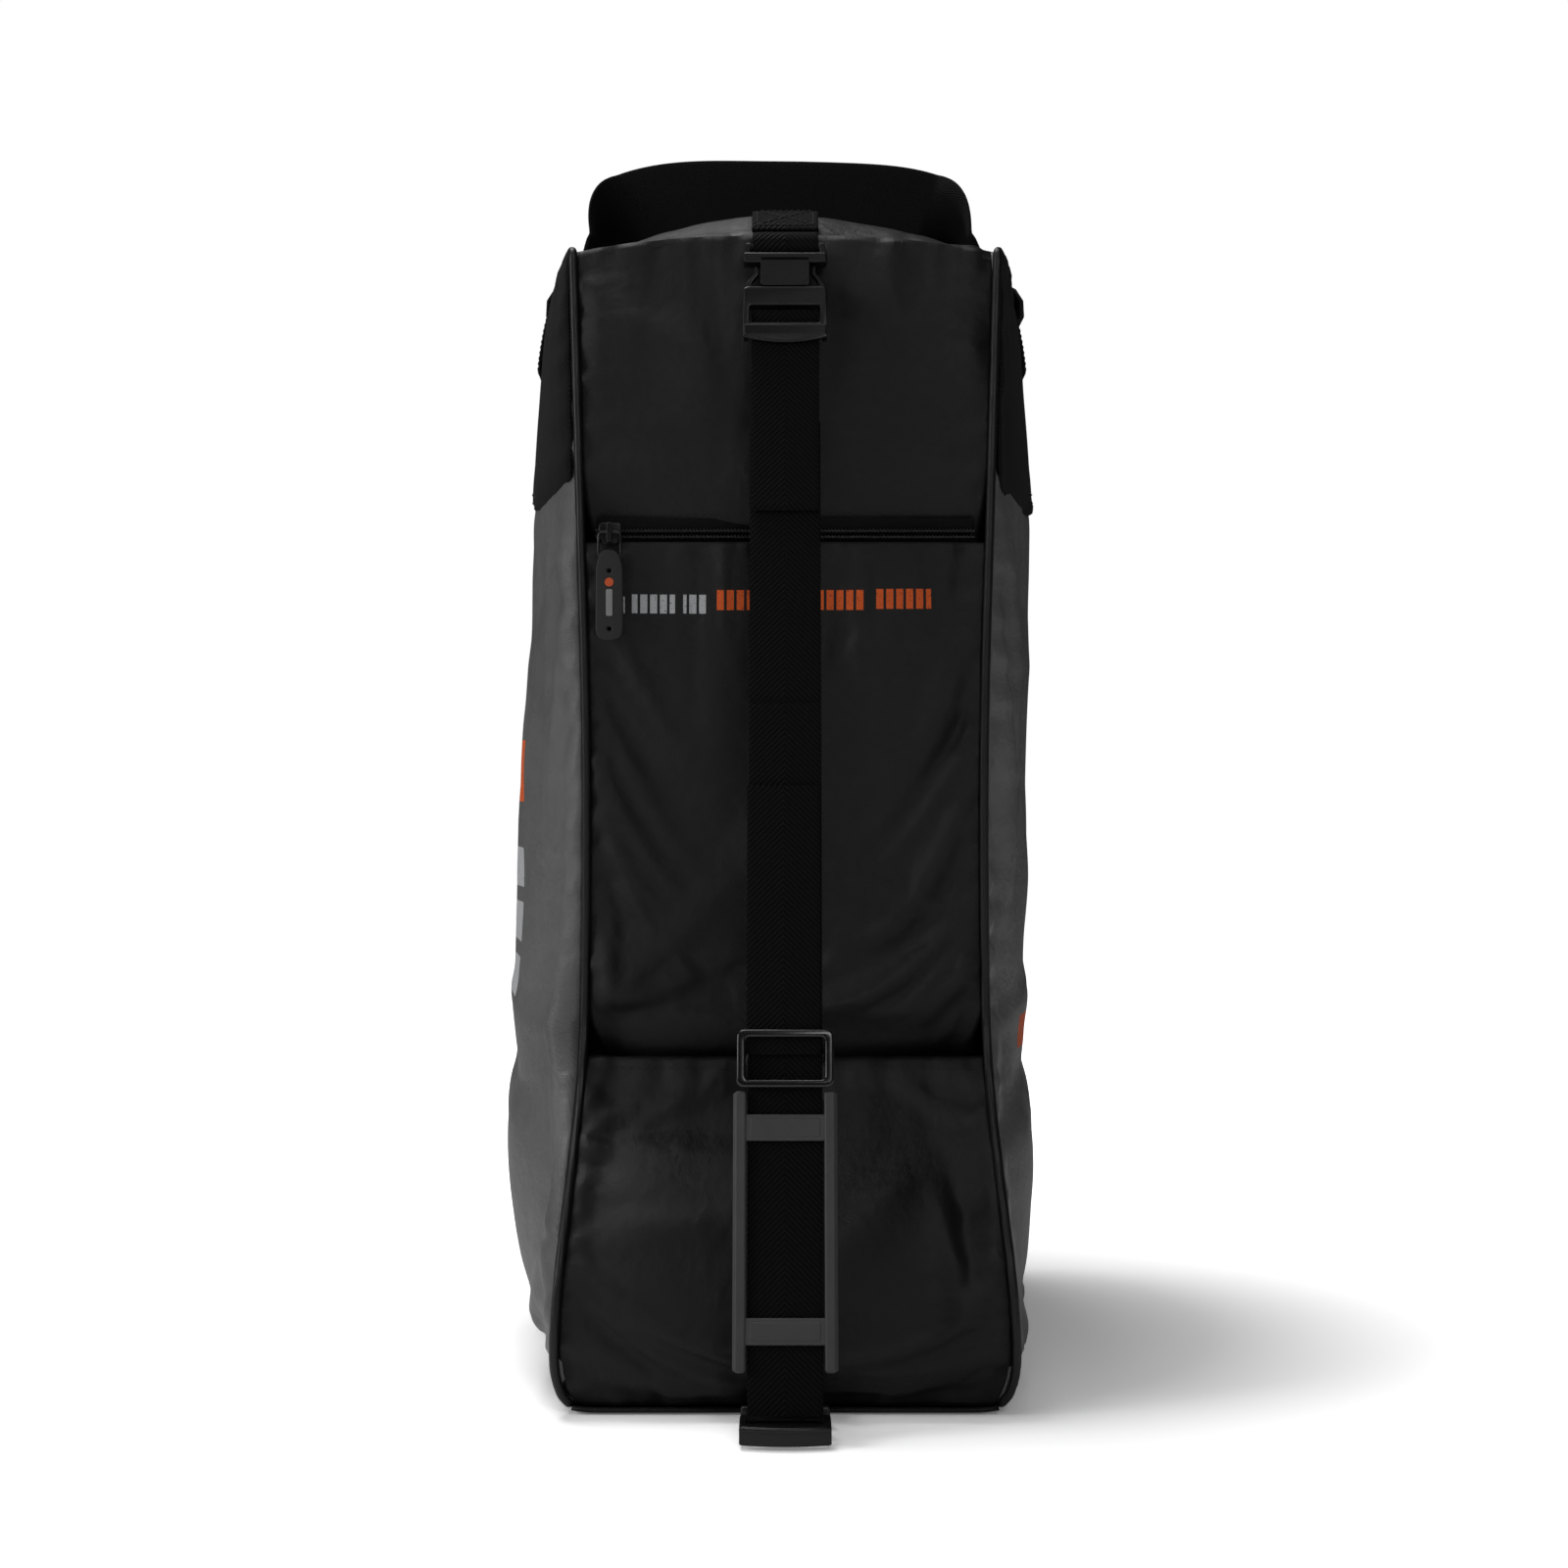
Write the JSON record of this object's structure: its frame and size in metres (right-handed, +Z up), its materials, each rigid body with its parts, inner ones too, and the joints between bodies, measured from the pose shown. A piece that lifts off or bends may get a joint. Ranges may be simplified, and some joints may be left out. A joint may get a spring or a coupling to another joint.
{
  "type": "skate bag",
  "caption": "Upright boot-shaped carry bag for skates, with a front strap on side-release buckles, a zipped pocket, a rear zip opening and a carry handle.",
  "frame": {"origin": "on the floor, on the base's flat underside, below the bag's middle", "axes": "+X to the right seen from the front, +Y from the front to the rear, +Z up; the strap face looks along -Y"},
  "size_m": [0.2432, 0.4006, 0.556],
  "materials": {
    "black_nylon": "woven nylon with a soft sheen",
    "grey_coated_fabric": "grey coated fabric, wrinkled",
    "coarse_black_fabric": "coarse matt black weave",
    "lining_fabric": "thin plain lining",
    "piping_vinyl": "satin corded edge",
    "black_webbing": "herringbone webbing",
    "black_acetal": "moulded, low gloss",
    "grey_moulded_pad": "moulded grey, satin",
    "blackened_metal": "black enamel",
    "black_rubber": "soft moulded rubber",
    "base_board_plastic": "stiffener board"
  },
  "bodies": {
    "bag": {"base_panel": "black_nylon", "base_board": "base_board_plastic", "side_panel_left": "grey_coated_fabric", "side_panel_right": "grey_coated_fabric", "side_yoke_left": "coarse_black_fabric", "side_yoke_right": "coarse_black_fabric", "front_upper_panel": "black_nylon", "front_pocket_panel": "black_nylon", "front_lower_panel": "black_nylon", "top_panel": "black_nylon", "piping_left": "piping_vinyl", "piping_right": "piping_vinyl", "rear_band_upper": "black_nylon", "rear_band_lower": "black_nylon", "pocket_lining": "lining_fabric", "pocket_zip_tape_upper": "black_nylon", "pocket_zip_tape_lower": "black_nylon", "pocket_zip_coil_upper": "black_acetal", "pocket_zip_coil_lower": "black_acetal", "handle_anchor_left": "coarse_black_fabric", "handle_anchor_right": "coarse_black_fabric", "strap_tab_anchor": "black_webbing", "lower_buckle_socket": "black_acetal", "lower_strap_tab": "black_webbing"},
    "pocket_slider": {"pocket_zip_slider": "blackened_metal"},
    "pocket_puller": {"pocket_puller_loop": "blackened_metal", "pocket_puller_grip": "black_rubber"},
    "flap_left": {"rear_flap_left": "black_nylon", "main_zip_tape_left": "lining_fabric", "main_zip_coil_left": "black_acetal"},
    "flap_right": {"rear_flap_right": "black_nylon", "main_zip_tape_right": "lining_fabric", "main_zip_coil_right": "black_acetal"},
    "main_slider": {"main_zip_slider": "blackened_metal"},
    "main_puller": {"main_puller_loop": "blackened_metal", "main_puller_grip": "black_rubber"},
    "handle": {"carry_handle": "black_webbing"},
    "strap": {"strap_webbing": "black_webbing", "upper_strap_tab": "black_webbing", "upper_buckle_socket": "black_acetal", "lower_buckle_plug": "black_acetal"},
    "upper_plug": {"upper_buckle_plug": "black_acetal", "strap_tail": "black_webbing"},
    "upper_latch_left": {"upper_latch_left": "black_acetal"},
    "upper_latch_right": {"upper_latch_right": "black_acetal"},
    "lower_latch_left": {"lower_latch_left": "black_acetal"},
    "lower_latch_right": {"lower_latch_right": "black_acetal"},
    "glide": {"tri_glide": "black_acetal", "glide_tail": "black_webbing"},
    "pad": {"shoulder_pad": "grey_moulded_pad"}
  },
  "joints": [
    {"name": "strap_swing", "type": "hinge", "parent": "bag", "child": "strap", "pos_m": [0, -0.127, 0.4935], "axis": [-1, 0, 0], "range_deg": [0, 110]},
    {"name": "upper_plug_release", "type": "slide", "parent": "strap", "child": "upper_plug", "axis": [0, -0.2224, -0.9749], "range_m": [0, 0.028]},
    {"name": "upper_latch_left_squeeze", "type": "hinge", "parent": "upper_plug", "child": "upper_latch_left", "pos_m": [-0.0145, -0.13185, 0.47225], "axis": [0, 0.9749, -0.2224], "range_deg": [0, 8]},
    {"name": "upper_latch_right_squeeze", "type": "hinge", "parent": "upper_plug", "child": "upper_latch_right", "pos_m": [0.0145, -0.13185, 0.47225], "axis": [0, 0.9749, -0.2224], "range_deg": [-8, 0]},
    {"name": "lower_latch_left_squeeze", "type": "hinge", "parent": "strap", "child": "lower_latch_left", "pos_m": [-0.0145, -0.2238, 0.004], "axis": [0, 0, -1], "range_deg": [0, 8]},
    {"name": "lower_latch_right_squeeze", "type": "hinge", "parent": "strap", "child": "lower_latch_right", "pos_m": [0.0145, -0.2238, 0.004], "axis": [0, 0, -1], "range_deg": [-8, 0]},
    {"name": "tri_glide_slide", "type": "slide", "parent": "strap", "child": "glide", "axis": [0, 0.2224, 0.9749], "range_m": [0, 0.085]},
    {"name": "pad_slide", "type": "slide", "parent": "strap", "child": "pad", "axis": [0, -0.2224, -0.9749], "range_m": [0, 0.01]},
    {"name": "pocket_slider_slide", "type": "slide", "parent": "bag", "child": "pocket_slider", "axis": [1, 0, 0], "range_m": [0, 0.15]},
    {"name": "pocket_puller_swing", "type": "hinge", "parent": "pocket_slider", "child": "pocket_puller", "pos_m": [-0.0756, -0.133, 0.367], "axis": [-1, 0, 0], "range_deg": [0, 150]},
    {"name": "rear_flap_left_open", "type": "hinge", "parent": "bag", "child": "flap_left", "pos_m": [-0.086, 0.13, 0.4915], "axis": [0, -0.0407, 0.9992], "range_deg": [0, 100]},
    {"name": "rear_flap_right_open", "type": "hinge", "parent": "bag", "child": "flap_right", "pos_m": [0.086, 0.13, 0.4915], "axis": [0, 0.0407, -0.9992], "range_deg": [0, 100]},
    {"name": "main_slider_slide", "type": "slide", "parent": "flap_left", "child": "main_slider", "axis": [0, 0.0407, -0.9992], "range_m": [0, 0.395]},
    {"name": "main_puller_swing", "type": "hinge", "parent": "main_slider", "child": "main_puller", "pos_m": [0, 0.1365, 0.45473], "axis": [1, 0, 0], "range_deg": [0, 150]},
    {"name": "handle_swing", "type": "hinge", "parent": "bag", "child": "handle", "pos_m": [0, 0.004, 0.499], "axis": [1, 0, 0], "range_deg": [-35, 35]}
  ],
  "couplings": [
    {"joint": "upper_latch_right_squeeze", "follows": "upper_latch_left_squeeze", "ratio": -1},
    {"joint": "lower_latch_right_squeeze", "follows": "lower_latch_left_squeeze", "ratio": -1},
    {"joint": "rear_flap_right_open", "follows": "rear_flap_left_open", "ratio": 1}
  ]
}
